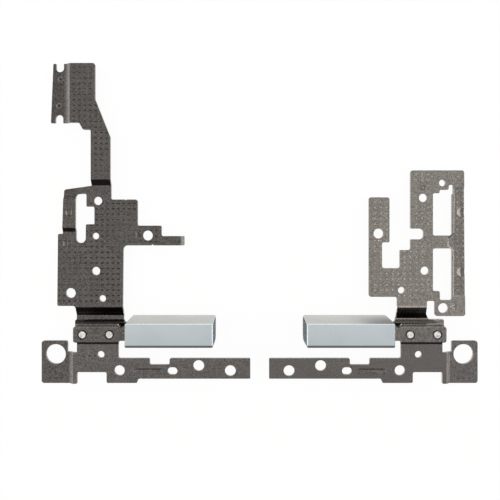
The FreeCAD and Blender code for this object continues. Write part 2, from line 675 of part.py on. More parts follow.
def display_outline():
    """Anticlockwise from the low corner of the pad."""
    foot_left, foot_right = DISPLAY_FOOT_X
    notch_left, notch_right = ARM_NOTCH_X
    cut_left, cut_right = BLOCK_CUT_X
    pad_left, pad_right = PAD_X
    return [
        (pad_left, PAD_LOW_Y, WIDE_CORNER),
        (cut_left, PAD_LOW_Y, TIGHT_CORNER),
        (cut_left, BLOCK_CUT_Y, CORNER),
        (cut_right, BLOCK_CUT_Y, CORNER),
        (cut_right, DISPLAY_BLOCK_LOW_Y, CORNER),
        (DISPLAY_BLOCK_END_X, DISPLAY_BLOCK_LOW_Y, CORNER),
        (DISPLAY_BLOCK_END_X + LEAN, ARM_LOW_Y, CORNER),
        (ARM_END_X, ARM_LOW_Y, TIGHT_CORNER),
        (ARM_END_X, ARM_TOP_Y, TIGHT_CORNER),
        (notch_right, ARM_TOP_Y, CORNER),
        (notch_right, ARM_NOTCH_Y, CORNER),
        (notch_left, ARM_NOTCH_Y, CORNER),
        (notch_left, ARM_TOP_Y, CORNER),
        (foot_right, ARM_TOP_Y, CORNER),
        (foot_right, DISPLAY_FOOT_TOP_Y, CORNER),
        (foot_left, DISPLAY_FOOT_TOP_Y, CORNER),
        (foot_left, LUG_TOP_Y, TIGHT_CORNER),
        (cut_left, LUG_TOP_Y, TIGHT_CORNER),
        (cut_left, PAD_GAP_LOW_Y, TIGHT_CORNER),
        (pad_right, PAD_GAP_LOW_Y, TIGHT_CORNER),
        (pad_right, PAD_TOP_Y, WIDE_CORNER),
        (pad_left, PAD_TOP_Y, WIDE_CORNER),
    ]


def display_bracket():
    plan = prism(display_outline(), -THROUGH, THROUGH)
    low_level = DISPLAY_SHEET_Z - PAD_DROP
    ramp_start, ramp_end = PAD_RAMP_X
    path = [
        (PAD_X[0] - MARGIN, low_level),
        (ramp_start, low_level),
        (ramp_end, DISPLAY_SHEET_Z),
        (ARM_END_X + MARGIN, DISPLAY_SHEET_Z),
    ]
    sheet = folded_along_x(path, PAD_LOW_Y - MARGIN, DISPLAY_FOOT_TOP_Y + MARGIN).common(plan)
    sheet = pressed_rectangle(sheet, BEAD, BEAD_SIZE, BEAD_END_RUN, DISPLAY_SHEET_Z, BEAD_HEIGHT)
    cutters = rivet_cutters(-1)
    cutters.append(prism(rectangle(*SLOT, *SLOT_SIZE, SLOT_SIZE[1] / 2), -THROUGH, THROUGH))
    cutters += round_cutters([
        (PAD_HOLE_RADIUS, PAD_HOLES),
        (LOCATING_HOLE_RADIUS, SMALL_HOLES),
        (WIDE_HOLE_RADIUS, WIDE_HOLES),
        (ARM_HOLE_RADIUS, ARM_HOLES),
        (NICK_RADIUS, DISPLAY_NICKS),
    ])
    return sheet.cut(cutters)


def key_bar(x0, x1, axis_z):
    """Round bar with two flats."""
    flats = block(x0, x1, -JOURNAL_RADIUS, JOURNAL_RADIUS,
                  axis_z - KEY_HALF_HEIGHT, axis_z + KEY_HALF_HEIGHT)
    return rod(x0, x1, JOURNAL_RADIUS, axis_z).common(flats)


def shaft(axis_z):
    """Shaft forged in one with its flat tang, which lies on the bracket's sheet."""
    far = -TANG_TO_CAP - TANG_LENGTH
    low = axis_z - TANG_THICKNESS / 2
    high = axis_z + TANG_THICKNESS / 2
    tang_low_y, tang_high_y = TANG_Y
    tang = chamfered_prism([
        (far, tang_low_y, TANG_CORNER),
        (-TANG_TO_CAP, tang_low_y, TANG_CAP_CORNER),
        (-TANG_TO_CAP, tang_high_y, TANG_CAP_CORNER),
        (far, tang_high_y, TANG_CORNER),
    ], low, high, TANG_CHAMFER_RUN, TANG_CHAMFER_DROP)
    neck = block(-TANG_TO_CAP - TANG_CORNER, COLLAR_START, -NECK_HALF_WIDTH, NECK_HALF_WIDTH, low, high)
    collar = rod(COLLAR_START, COLLAR_END, DISC_RADIUS, axis_z)
    journal = rod(COLLAR_END, CAM_X, JOURNAL_RADIUS, axis_z)
    keyed = key_bar(CAM_X, SPRING_X, axis_z)
    thread = rod(SPRING_X, SHAFT_END_X - THREAD_CHAMFER, THREAD_RADIUS, axis_z)
    point = Part.makeCone(THREAD_RADIUS, THREAD_RADIUS - THREAD_CHAMFER, THREAD_CHAMFER,
                          V(SHAFT_END_X - THREAD_CHAMFER, 0, axis_z), V(1, 0, 0))
    body = tang.fuse([neck, collar, journal, keyed, thread, point])
    for x in RIVET_STATIONS:
        seat = Part.makeCylinder(RIVET_SEAT_RADIUS, MARGIN, V(-x, RIVET_Y, high - RIVET_SEAT_DEPTH))
        body = body.cut([through_hole(-x, RIVET_Y, RIVET_SHANK_RADIUS), seat])
    return body.removeSplitter()


def rivets(axis_z):
    """Two rivets through tang and sheet, their set heads sunk in the tang's seats."""
    seat_z = axis_z + TANG_THICKNESS / 2 - RIVET_SEAT_DEPTH
    sheet_z = axis_z - TANG_THICKNESS / 2 - SHEET
    made = []
    for x in RIVET_STATIONS:
        shank = Part.makeCylinder(RIVET_SHANK_RADIUS, seat_z - sheet_z, V(-x, RIVET_Y, sheet_z))
        head = Part.makeCylinder(RIVET_HEAD_RADIUS, RIVET_SEAT_DEPTH, V(-x, RIVET_Y, seat_z))
        crown = Part.makeCone(RIVET_HEAD_RADIUS, RIVET_HEAD_RADIUS - RIVET_HEAD_STANDS, RIVET_HEAD_STANDS,
                              V(-x, RIVET_Y, seat_z + RIVET_SEAT_DEPTH))
        tail = Part.makeCylinder(RIVET_HEAD_RADIUS, RIVET_TAIL_HEIGHT,
                                 V(-x, RIVET_Y, sheet_z - RIVET_TAIL_HEIGHT))
        made.append(head.fuse([crown, shank, tail]).removeSplitter())
    return Part.makeCompound(made)


def sleeve(shrink, top_radius, low_radius, x0, x1):
    """Solid bar of the cap's section: flat above and below, crowned sides that spread, round lower edges."""
    low = shrink
    high = CAP_HEIGHT - shrink
    top_half = CAP_HALF_WIDTH - shrink
    low_half = CAP_LOW_HALF_WIDTH - shrink
    corners = [
        V(x0, -low_half, low),
        V(x0, low_half, low),
        V(x0, top_half, high),
        V(x0, -top_half, high),
    ]
    crown_y = (top_half + low_half) / 2 + CAP_CROWN
    edges = [
        Part.LineSegment(corners[0], corners[1]).toShape(),
        Part.Arc(corners[1], V(x0, crown_y, CAP_MIDDLE_Z), corners[2]).toShape(),
        Part.LineSegment(corners[2], corners[3]).toShape(),
        Part.Arc(corners[3], V(x0, -crown_y, CAP_MIDDLE_Z), corners[0]).toShape(),
    ]
    bar = Part.Face(Part.Wire(edges)).extrude(V(x1 - x0, 0, 0))
    for z, radius in ((high, top_radius), (low, low_radius)):
        edges = [e for e in bar.Edges if e.BoundBox.XLength > 0.9 * (x1 - x0)]
        at_level = [e for e in edges if abs(e.CenterOfMass.z - z) < 0.01]
        bar = bar.makeFillet(radius, at_level)
    return bar


def inner_bar(clearance, x0, x1):
    """Bar that fills the inside of the cap but for a clearance all round."""
    shrink = CAP_WALL + clearance
    return sleeve(shrink, CAP_INNER_TOP_RADIUS, CAP_LOW_RADIUS - shrink, x0, x1)


def hinge_cap():
    outside = sleeve(0, CAP_TOP_RADIUS, CAP_LOW_RADIUS, 0, CAP_LENGTH)
    ends = [f for f in outside.Faces if f.BoundBox.XLength < 0.1]
    outside = outside.makeChamfer(CAP_MOUTH_CHAMFER, [e for f in ends for e in f.Edges])
    return outside.cut(inner_bar(0, -MARGIN, CAP_LENGTH + MARGIN))


def bearing_plate(x0, x1):
    """Plate inside the cap with a running hole for each shaft."""
    plate = inner_bar(RUNNING_GAP, x0, x1)
    for axis_z in (SYSTEM_AXIS_Z, DISPLAY_AXIS_Z):
        plate = plate.cut(rod(x0 - MARGIN, x1 + MARGIN, JOURNAL_RADIUS + RUNNING_GAP, axis_z))
    return plate


def keyed_disc(x0, x1, axis_z):
    """Disc on the flats of a shaft, so that it turns with it."""
    return rod(x0, x1, DISC_RADIUS, axis_z).cut(key_bar(x0 - MARGIN, x1 + MARGIN, axis_z))


def stop_cam(axis_z, notch_side):
    cam = keyed_disc(CAM_X, CAM_X + CAM_LENGTH, axis_z)
    deep = axis_z + notch_side * (DISC_RADIUS - CAM_NOTCH_DEPTH)
    low, high = sorted((deep, deep + notch_side * MARGIN))
    notch = block(CAM_X - MARGIN, STACK_X + MARGIN, -CAM_NOTCH_HALF_WIDTH, CAM_NOTCH_HALF_WIDTH, low, high)
    return cam.cut(notch)


def lock_slider():
    """Slider between the two cams, hollowed to clear both of them."""
    half_width = CAP_HALF_WIDTH - CAP_WALL - SLIDER_TO_CAP
    bar = block(CAM_X, CAM_X + CAM_LENGTH, -half_width, half_width,
                CAP_MIDDLE_Z - SLIDER_HALF_HEIGHT, CAP_MIDDLE_Z + SLIDER_HALF_HEIGHT)
    for axis_z in (SYSTEM_AXIS_Z, DISPLAY_AXIS_Z):
        bar = bar.cut(rod(CAM_X - MARGIN, STACK_X + MARGIN, DISC_RADIUS + SLIDER_CLEARANCE, axis_z))
    return bar


def friction_plates():
    plates = []
    for i in range(FRICTION_PLATES):
        start = STACK_X + i * STACK_PITCH
        plates.append(bearing_plate(start, start + FRICTION_PLATE_LENGTH))
    return Part.makeCompound(plates)


def friction_washers(axis_z):
    washers = []
    for i in range(FRICTION_PLATES):
        start = STACK_X + i * STACK_PITCH + FRICTION_PLATE_LENGTH + RUNNING_GAP
        washers.append(keyed_disc(start, start + FRICTION_WASHER_LENGTH, axis_z))
    return Part.makeCompound(washers)


def spring_washers(axis_z):
    """Disc springs, each turned against the next."""
    inner = THREAD_RADIUS + RUNNING_GAP
    outer = DISC_RADIUS - SPRING_INSET
    washers = []
    for i in range(SPRING_WASHERS):
        start = SPRING_X + i * SPRING_PITCH
        rise = SPRING_CONE_HEIGHT if i % 2 == 0 else -SPRING_CONE_HEIGHT
        base = start if rise > 0 else start + SPRING_CONE_HEIGHT
        points = [
            V(base, inner, 0),
            V(base + rise, outer, 0),
            V(base + rise + SPRING_THICKNESS - RUNNING_GAP, outer, 0),
            V(base + SPRING_THICKNESS - RUNNING_GAP, inner, 0),
            V(base, inner, 0),
        ]
        washer = Part.Face(Part.makePolygon(points)).revolve(V(0, 0, 0), V(1, 0, 0), 360)
        washer.translate(V(0, 0, axis_z))
        washers.append(washer)
    return Part.makeCompound(washers)


def nut(axis_z):
    corner = DISC_RADIUS - NUT_INSET
    points = []
    for i in range(7):
        angle = math.radians(60 * i)
        points.append(V(NUT_X, corner * math.cos(angle), axis_z + corner * math.sin(angle)))
    hexagon = Part.Face(Part.makePolygon(points)).extrude(V(NUT_LENGTH, 0, 0))
    chamfer = Part.makeCone(corner + NUT_LENGTH / 2, corner - NUT_CHAMFER, NUT_LENGTH,
                            V(NUT_X, 0, axis_z), V(1, 0, 0))
    return hexagon.common(chamfer).cut(rod(NUT_X - MARGIN, SHAFT_END_X + MARGIN, THREAD_RADIUS, axis_z))


def torque_unit():
    """Pieces that both hinges share, with the cap running along +X."""
    return {
        "hinge_cap": hinge_cap(),
        "end_plate": bearing_plate(END_PLATE_X, END_PLATE_X + END_PLATE_LENGTH),
        "lock_slider": lock_slider(),
        "friction_plates": friction_plates(),
        "system_shaft": shaft(SYSTEM_AXIS_Z),
        "display_shaft": shaft(DISPLAY_AXIS_Z),
        "system_rivets": rivets(SYSTEM_AXIS_Z),
        "display_rivets": rivets(DISPLAY_AXIS_Z),
        "system_cam": stop_cam(SYSTEM_AXIS_Z, 1),
        "display_cam": stop_cam(DISPLAY_AXIS_Z, -1),
        "system_friction_washers": friction_washers(SYSTEM_AXIS_Z),
        "display_friction_washers": friction_washers(DISPLAY_AXIS_Z),
        "system_spring_washers": spring_washers(SYSTEM_AXIS_Z),
        "display_spring_washers": spring_washers(DISPLAY_AXIS_Z),
        "system_nut": nut(SYSTEM_AXIS_Z),
        "display_nut": nut(DISPLAY_AXIS_Z),
        "display_bracket": display_bracket(),
    }


def mirrored(shape):
    return shape.mirror(V(0, 0, 0), V(1, 0, 0))


nodes = {}
for name, shape in torque_unit().items():
    nodes["left_" + name] = shape
    nodes["right_" + name] = mirrored(shape)
nodes["left_system_bracket"] = left_system_bracket()
nodes["right_system_bracket"] = right_system_bracket()

mouth_from_middle = ARM_END_X + ARM_ENDS_APART / 2
for name, shape in nodes.items():
    side = -1 if name.startswith("left_") else 1
    shape.translate(V(side * mouth_from_middle, 0, 0))

# The origin is at the middle of the pair's box, on the table
box = Part.makeCompound(list(nodes.values())).optimalBoundingBox()
to_origin = V(-box.Center.x, -box.Center.y, -box.ZMin)
for name, shape in nodes.items():
    shape.translate(to_origin)
    shape.exportStep("parts/" + name + ".step")
print("cap mouths at", round(to_origin.x - mouth_from_middle, 3), round(to_origin.x + mouth_from_middle, 3))
print("axis at", round(to_origin.y, 3), "table at", round(to_origin.z, 3))
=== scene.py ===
import bpy
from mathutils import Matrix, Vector


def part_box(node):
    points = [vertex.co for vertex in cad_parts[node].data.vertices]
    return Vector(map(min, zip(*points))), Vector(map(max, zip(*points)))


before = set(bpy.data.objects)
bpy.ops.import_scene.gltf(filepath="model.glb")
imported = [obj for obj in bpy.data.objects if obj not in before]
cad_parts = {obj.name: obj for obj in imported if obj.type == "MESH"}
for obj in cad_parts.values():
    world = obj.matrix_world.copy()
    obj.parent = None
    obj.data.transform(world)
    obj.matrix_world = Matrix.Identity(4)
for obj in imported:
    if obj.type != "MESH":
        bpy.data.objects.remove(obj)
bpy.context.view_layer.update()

# Lengths are in millimetres up to where an object is made
MM = 0.001

# The camera looks straight down from above, near the middle of the pair
CAMERA_AT = Vector((-2.7, 1.8, 162.0))
NEAR_CLIP = 5.0
SENSOR_WIDTH = 36.0
IMAGE_WIDTH = 500
FOCAL_PIXELS = 436
NADIR_RIGHT_OF_CENTRE = 2
NADIR_ABOVE_CENTRE = 34

# The floor, and how much of it is plain glow to the camera, in reflections and through glass
FLOOR_WIDTH = 4000.0
FLOOR_COLOUR = (0.92, 0.9, 0.86, 1.0)
FLOOR_GLOW_SHARE = 0.95

# Each change, here and below, is where it starts and ends, then what it goes from and to if not 0 and 1

# How the sky's strength changes with a direction's Y, and with how far the direction points to a side
SKY_ALONG_Y = [(-0.6, -0.35, 0.6, 1.0), (0.45, 0.6, 1.0, 0.72), (0.72, 0.85, 1.0, 2.0)]
SKY_TO_SIDES = (0.6, 0.8, 1.0, 2.2)

# The caps mirror each other about X = 0, and the shafts come out at their outer ends
cap_low, cap_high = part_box("left_hinge_cap")
SHAFT_EXIT_X = -cap_low.x / MM
AXIS_Y = (cap_low.y + cap_high.y) / 2 / MM
CAP_MIDDLE_Z = (cap_low.z + cap_high.z) / 2 / MM

# Where a sheet's own X starts and which way it runs, which is the other way for the right display bracket
LEFT_START = (-SHAFT_EXIT_X, 1.0)
RIGHT_START = (SHAFT_EXIT_X, 1.0)
MIRRORED_START = (SHAFT_EXIT_X, -1.0)

# Coined marks: size and pitch along X and Y, the place of one, its brightness and how much of that shows
LEFT_COINS = {"size": (1.05, 0.4), "pitch": (1.97, 1.97), "at": (-4.9, 17.95), "shade": 0.3, "share": 0.85}
RIGHT_COINS = {"size": (0.4, 0.5), "pitch": (2.15, 2.0), "at": (13.0, 24.1), "shade": 2.3, "share": 0.7}
DISPLAY_COINS = {
    "size": (0.75, 0.42), "pitch": (2.05, 2.0), "at": (-27.6, -12.3), "shade": 0.35, "share": 0.7,
}
COIN_DEPTH = 0.08
COIN_EDGE_INSIDE = 0.1
COIN_EDGE_OUTSIDE = 0.12
COIN_FADING_SIZE = 16.0
COIN_FADING_SEED = 2.0
COIN_FADING_CHANGE = (0.3, 0.55, 0.35, 1.0)

# Patches with coined marks, as (low x, high x, low y, high y) from the sheet's start and the shafts' axis
LEFT_BASE_PATCHES = [
    (-26.8, -3.6, 9.0, 33.5), (-16.2, 9.8, 31.0, 46.5), (-14.2, -8.2, 56.0, 72.0),
    (-21.4, -10.6, 72.0, 82.0), (-21.4, -13.8, 82.0, 95.0),
]
RIGHT_BASE_PATCHES = [
    (-6.0, 16.4, 13.0, 21.8), (-6.0, 0.8, 21.8, 47.0), (5.2, 14.6, 21.8, 31.5),
    (9.0, 16.4, 36.8, 57.0), (24.8, 28.2, 12.5, 50.5), (4.4, 10.0, 9.6, 13.0),
]
LEFT_DISPLAY_PATCHES = [(-28.8, -21.8, -16.9, -11.4), (-17.0, -5.0, -9.0, -7.0)]
RIGHT_DISPLAY_PATCHES = [(-28.8, -21.8, -16.9, -14.4)]

# Places that are darker or brighter than the rest, with how bright each is beside it; the notes say which
# hold painted light
LEFT_BASE_TONE_AND_PAINTED_LIGHT = [
    (-40.0, -24.0, 70.0, 100.0, 0.8),
    # Painted shade and a painted highlight across the neck's bend, and painted shade on the foot under the
    # tang
    (-22.0, -3.0, 6.1, 7.4, 0.6), (-22.0, -3.0, 5.3, 6.0, 2.2), (-22.0, -3.0, 4.9, 5.3, 0.6),
    (-22.0, -2.0, -4.0, 3.1, 0.27),
    (-26.0, -20.0, 47.8, 52.0, 0.85),
]
RIGHT_BASE_TONE_AND_PAINTED_LIGHT = [
    (24.5, 40.0, 11.8, 51.6, 0.8),
    # Painted highlights and shade across the neck's bend, a painted highlight on the foot and painted shade
    # under the tang
    (3.0, 15.6, 7.0, 8.0, 3.2), (3.0, 15.6, 5.8, 7.0, 2.0), (3.0, 15.6, 3.4, 5.4, 0.5),
    (3.0, 15.6, 8.0, 8.6, 1.15), (2.0, 22.0, 2.8, 3.7, 1.6), (2.0, 22.0, -4.0, 2.8, 0.8),
]
LEFT_DISPLAY_TONE_AND_PAINTED_LIGHT = [
    (-40.0, -19.8, -30.0, 10.0, 0.85),
    # Painted shade on the sheet next to the foot's edge, a painted highlight on that edge and a painted
    # shadow line under the tang
    (-22.0, -2.0, 3.05, 5.0, 0.15), (-22.0, -2.0, 2.4, 2.95, 1.7),
    (-19.0, -2.6, -4.0, -2.8, 0.1),
]
RIGHT_DISPLAY_TONE_AND_PAINTED_LIGHT = [
    (-40.0, -19.8, -30.0, 10.0, 1.05),
    # Painted shade on the sheet next to the foot's edge, a painted highlight on that edge and a painted
    # shadow line under the tang
    (-22.0, -2.0, 3.05, 5.0, 0.6), (-22.0, -2.0, 2.4, 2.95, 1.6),
    (-19.0, -2.6, -4.0, -2.8, 0.1),
]

# Slopes of what is pressed into a sheet, with a painted highlight on one side and painted shade on the
# other, and how bright each is beside the rest
LEFT_BASE_SLOPE_PAINTED_LIGHT = [
    (-24.5, -23.3, 41.0, 43.4, 2.2), (-22.3, -21.2, 41.0, 43.4, 2.2), (-23.3, -22.3, 42.7, 43.8, 0.5),
    (-25.7, -24.5, 29.8, 32.4, 1.9), (-23.9, -22.7, 29.8, 32.4, 1.7), (-24.5, -23.9, 31.9, 32.9, 0.5),
    (-27.6, -24.4, 79.6, 92.2, 1.15),
    (-23.2, -21.9, 73.0, 98.0, 1.45), (-24.3, -23.7, 73.0, 98.0, 1.3), (-23.7, -23.3, 73.0, 98.0, 0.9),
    (0.7, 1.75, 32.4, 36.2, 1.7), (1.75, 4.3, 32.4, 36.2, 0.35),
    (16.2, 19.5, 29.5, 34.0, 1.7),
]
RIGHT_BASE_SLOPE_PAINTED_LIGHT = [
    (25.4, 27.1, 40.6, 44.2, 1.9), (27.1, 29.2, 40.6, 44.2, 0.55),
    (25.4, 27.1, 18.9, 22.5, 1.9), (27.1, 29.2, 18.9, 22.5, 0.55),
    (22.2, 24.9, 6.3, 9.9, 1.6), (24.9, 25.9, 6.3, 9.9, 0.45),
    (11.9, 14.3, 50.0, 52.4, 0.45),
    (24.0, 29.2, 50.8, 52.4, 0.85), (24.0, 29.2, 11.0, 12.7, 1.25),
]
DISPLAY_SLOPE_PAINTED_LIGHT = [
    (2.0, 12.0, -14.8, -12.2, 0.3), (1.2, 2.0, -14.8, -12.2, 2.2), (12.0, 12.8, -14.8, -12.2, 1.9),
]

# How wide the soft edge of a patch, a zone or a slope with painted light is
ZONE_EDGE = 0.3

# How faces are told apart by how level they are and how far they lean to -Y, and the painted shade on
# leaning ones
FLAT_CHANGE = (0.1, 0.3)
SLOPING_CHANGE = (0.95, 0.985, 1.0, 0.0)
UPRIGHT_CHANGE = (0.9, 0.97, 1.0, 0.0)
LEANING_CHANGE = (-0.12, -0.3)
BEND_SHADE_SHARE = 0.15

# Most of a noise lies in this range, and noise is squeezed along X, Y and Z where it makes lines
NOISE_RANGE = (0.3, 0.7)
NO_LINES = (1.0, 1.0, 1.0)
LINES_ALONG_X = (0.4, 3.0, 3.0)
LINES_ALONG_Y = (2.0, 0.5, 1.0)
LINES_ROUND_X = (2.0, 1.0, 1.0)

# What a sheet's surface is made up of, and how bright or metallic that is beside the plain sheet
GRAIN_SIZE = 0.3
GRAIN_DEPTH = 0.015
GRAIN_CHANGE = (0.25, 0.75)
GRAIN_DARK = 0.36
GRAIN_LIGHT = 2.0
SMUDGE_SIZE = 7.0
SMUDGE_CHANGE = (0.4, 0.75, 0.0, 0.45)
ROLLING_SIZE = 1.2
ROLLING_LINES = (0.12, 2.2, 1.0)
ROLLING_CHANGE = (0.5, 0.8, 0.0, 0.3)
FLECK_SIZE = 0.2
FLECK_CHANGE = (0.66, 0.76, 0.0, 0.7)
FLECK_LIGHT = 2.2
STREAK_SIZE = 0.5
STREAK_LINES = (2.0, 2.0, 0.15)
STREAK_CHANGE = (0.35, 0.65)
STREAK_DARK = 0.75
SHEARED_METALLIC = 0.5
# How metallic the slopes with painted light are
PAINTED_SLOPE_METALLIC = 0.1
EDGE_RADIUS = 0.12
EDGE_SAMPLES = 4

# Roughness of the sheets and of the caps' paint, from the smoothest place to the roughest
SATIN = (0.22, 0.3)

# Ground and machined pieces, whose light and dark add up to nearly twice their own colour
USUAL_CONTRAST = 1.3
LIGHT_PLUS_DARK = 1.9
LINE_DEPTH = 0.02
STAIN_SIZE = 2.5
STAIN_CHANGE = (0.52, 0.78, 0.0, 0.5)
GROUND_METALLIC = 0.9
SHAFT_GRIT = 0.4
SHAFT_ROUGHNESS = (0.24, 0.32)

# The caps' colours, as red, green and blue on screen from 0 to 255, with painted light and shade among them
CAP_DIM = (184, 192, 195)
CAP_PALE = (190, 198, 201)
CAP_WALL_LIT = (186, 188, 184)
CAP_EDGE_HIGHLIGHT = (236, 240, 243)
CAP_RIM_HIGHLIGHT = (186, 192, 194)
CAP_LOW_EDGE_SHADE = (70, 72, 72)
CAP_INSIDE_BARE_AND_SHADED = (160, 164, 166)

# The caps' paint, by how a face points and by its place, with Y measured from the shafts' axis
MIST_SIZE = 9.0
PEEL_SIZE = 1.6
PEEL_DEPTH = 0.003
TOP_CHANGE = (4.0, -4.5)
TOP_SHARE = 0.92
WALL_CHANGE = (0.5, 0.9)
CORNER_X_CHANGE = (30.0, 45.0)
CORNER_Z_CHANGE = (1.0, 11.0, 0.15, 1.0)
CORNER_SHADE_SHARE = 0.33
SLANT_CHANGE = (0.15, 0.45, 0.0, 0.6)
RIM_CHANGE = (0.3, 0.6, 0.0, 0.8)
LOW_EDGE_Y_CHANGE = (-3.15, -3.4)
LOW_EDGE_UP_CHANGE = (0.1, 0.4)
LOW_EDGE_SHARE = 0.85
OUTSIDE_CHANGE = (-2.0, -0.5)
PAINT_METALLIC = 0.85
INSIDE_METALLIC = 0.15


class Nodes:
    """A node tree with small helpers that add nodes to it."""

    def __init__(self, tree):
        self.tree = tree

    def add(self, kind):
        return self.tree.nodes.new("ShaderNode" + kind)

    def put(self, socket, value):
        """Give a socket a value, or link it to the socket that has one."""
        if isinstance(value, bpy.types.NodeSocket):
            self.tree.links.new(value, socket)
        else:
            socket.default_value = value

    def math(self, operation, first, second=0.0):
        node = self.add("Math")
        node.operation = operation
        self.put(node.inputs[0], first)
        self.put(node.inputs[1], second)
        return node.outputs[0]

    def times(self, first, second):
        return self.math("MULTIPLY", first, second)

    def minus(self, first, second):
        return self.math("SUBTRACT", first, second)

    def parts(self, vector):
        node = self.add("SeparateXYZ")
        self.put(node.inputs[0], vector)
        return node.outputs

    def steps(self, value, low, high, to_low=0.0, to_high=1.0):
        """Smooth change of a value from to_low at low to to_high at high."""
        node = self.add("MapRange")
        node.interpolation_type = "SMOOTHSTEP"
        self.put(node.inputs["Value"], value)
        self.put(node.inputs["From Min"], low)
        self.put(node.inputs["From Max"], high)
        self.put(node.inputs["To Min"], to_low)
        self.put(node.inputs["To Max"], to_high)
        return node.outputs["Result"]


class Shader(Nodes):
    """A material with small helpers for places, noise, colour and bumps, in millimetres."""

    def __init__(self, name):
        self.material = bpy.data.materials.new(name)
        self.material.use_nodes = True
        super().__init__(self.material.node_tree)
        coordinates = self.add("TexCoord")
        self.mm = self.scaled(coordinates.outputs["Object"], (1 / MM, 1 / MM, 1 / MM))
        self.facing = coordinates.outputs["Normal"]

    def scaled(self, vector, factors):
        node = self.add("Mapping")
        self.put(node.inputs["Vector"], vector)
        self.put(node.inputs["Scale"], factors)
        return node.outputs["Vector"]

    def noise(self, size, detail, seed, squeezed=NO_LINES):
        """Noise between about 0.3 and 0.7 with features of the given size."""
        node = self.add("TexNoise")
        node.noise_dimensions = "4D"
        self.put(node.inputs["Vector"], self.scaled(self.mm, squeezed))
        self.put(node.inputs["W"], seed)
        self.put(node.inputs["Scale"], 1 / size)
        self.put(node.inputs["Detail"], detail)
        return node.outputs["Fac"]

    def between(self, value, low, high):
        """1 where the value is between low and high, 0 outside."""
        away = self.math("ABSOLUTE", self.minus(value, (low + high) / 2))
        half = (high - low) / 2
        return self.steps(away, half - ZONE_EDGE / 2, half + ZONE_EDGE / 2, 1.0, 0.0)

    def inside(self, x, y, patch):
        """1 inside the patch, 0 outside."""
        x0, x1, y0, y1 = patch
        return self.times(self.between(x, x0, x1), self.between(y, y0, y1))

    def in_any(self, x, y, patches):
        """1 inside any of the patches, 0 outside."""
        area = 0.0
        for patch in patches:
            area = self.math("MAXIMUM", area, self.inside(x, y, patch))
        return area

    def upward(self):
        """How level a face is at rest: 1 on the sheet, 0 on its sheared edges, between them on slopes."""
        return self.math("ABSOLUTE", self.parts(self.facing)[2])

    def leaning(self):
        """1 on the faces of a bend that lean towards -Y at rest, where painted shade darkens the sheet."""
        _, across, up = self.parts(self.facing)
        return self.times(self.steps(across, *LEANING_CHANGE), self.steps(up, *FLAT_CHANGE))

    def blend(self, factor, first, second, kind="MIX"):
        node = self.add("Mix")
        node.data_type = "RGBA"
        node.blend_type = kind
        self.put(node.inputs["Factor"], factor)
        self.put(node.inputs["A"], first)
        self.put(node.inputs["B"], second)
        return node.outputs["Result"]

    def toned(self, colour, factor, share):
        """The colour with its brightness multiplied by the share where the factor is 1."""
        return self.blend(factor, colour, self.blend(1.0, colour, (share, share, share, 1.0), "MULTIPLY"))

    def rolled_edges(self):
        """Normal with the edges slightly rounded."""
        node = self.add("Bevel")
        node.samples = EDGE_SAMPLES
        self.put(node.inputs["Radius"], EDGE_RADIUS * MM)
        return node.outputs["Normal"]

    def bump(self, height, depth, below=None):
        node = self.add("Bump")
        self.put(node.inputs["Height"], height)
        self.put(node.inputs["Distance"], depth * MM)
        if below is not None:
            self.put(node.inputs["Normal"], below)
        return node.outputs["Normal"]

    def finish(self, colour, roughness, normal, metallic):
        surface = self.tree.nodes["Principled BSDF"]
        self.put(surface.inputs["Base Color"], colour)
        self.put(surface.inputs["Roughness"], roughness)
        self.put(surface.inputs["Normal"], normal)
        self.put(surface.inputs["Metallic"], metallic)
        return self.material


def linear(red, green, blue):
    """Colour from its 0 to 255 values on screen, by the sRGB curve."""
    channels = []
    for value in (red, green, blue):
        part = value / 255
        channels.append(part / 12.92 if part <= 0.04045 else ((part + 0.055) / 1.055) ** 2.4)
    return (*channels, 1.0)


def shade(colour, factor):
    """The colour with its brightness multiplied, up to white."""
    return tuple(min(1.0, factor * c) for c in colour[:3]) + (1.0,)


def coins(shader, marks, x, y, patches):
    """Rows of small dashes or dots in the patches, 1 in each one and 0 around it."""
    pattern = shader.in_any(x, y, patches)
    for value, at, pitch, length in zip((x, y), marks["at"], marks["pitch"], marks["size"]):
        rows = shader.math("FRACT", shader.math("DIVIDE", shader.minus(value, at - pitch / 2), pitch))
        away = shader.times(shader.math("ABSOLUTE", shader.minus(rows, 0.5)), pitch)
        within = shader.steps(away, length / 2 - COIN_EDGE_INSIDE, length / 2 + COIN_EDGE_OUTSIDE, 1.0, 0.0)
        pattern = shader.times(pattern, within)
    fading = shader.noise(COIN_FADING_SIZE, detail=1.0, seed=COIN_FADING_SEED)
    return shader.times(pattern, shader.steps(fading, *COIN_FADING_CHANGE))


